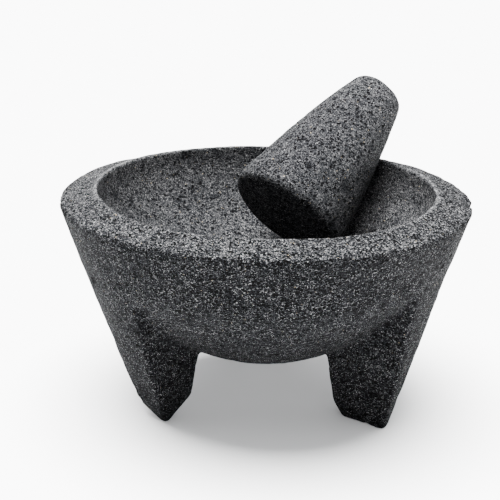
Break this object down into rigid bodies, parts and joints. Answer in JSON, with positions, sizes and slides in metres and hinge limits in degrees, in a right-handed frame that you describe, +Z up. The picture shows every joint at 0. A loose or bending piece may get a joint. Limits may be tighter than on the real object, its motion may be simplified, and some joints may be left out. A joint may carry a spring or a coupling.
{
  "type": "molcajete",
  "caption": "Stone mortar carved with splayed wedge-shaped legs, with its loose tapered hand stone leaning in the bowl, for grinding chillies, spices and salsa.",
  "frame": {"origin": "on the ground, on the bowl's axis", "axes": "+Z up, -Y towards the front between the two front legs, +X to the right"},
  "size_m": [0.21, 0.21, 0.1625],
  "materials": {
    "mortar_basalt": "rough, unpolished, pitted",
    "tejolote_basalt": "rough, unpolished, pitted"
  },
  "bodies": {
    "mortar": {"bowl": "mortar_basalt", "leg_left": "mortar_basalt", "leg_right": "mortar_basalt", "leg_rear": "mortar_basalt"},
    "tejolote": {"tejolote": "tejolote_basalt"}
  },
  "joints": [
    {"name": "tejolote_lift", "type": "slide", "parent": "mortar", "child": "tejolote", "axis": [0, 0, 1], "range_m": [0, 0.12]}
  ]
}
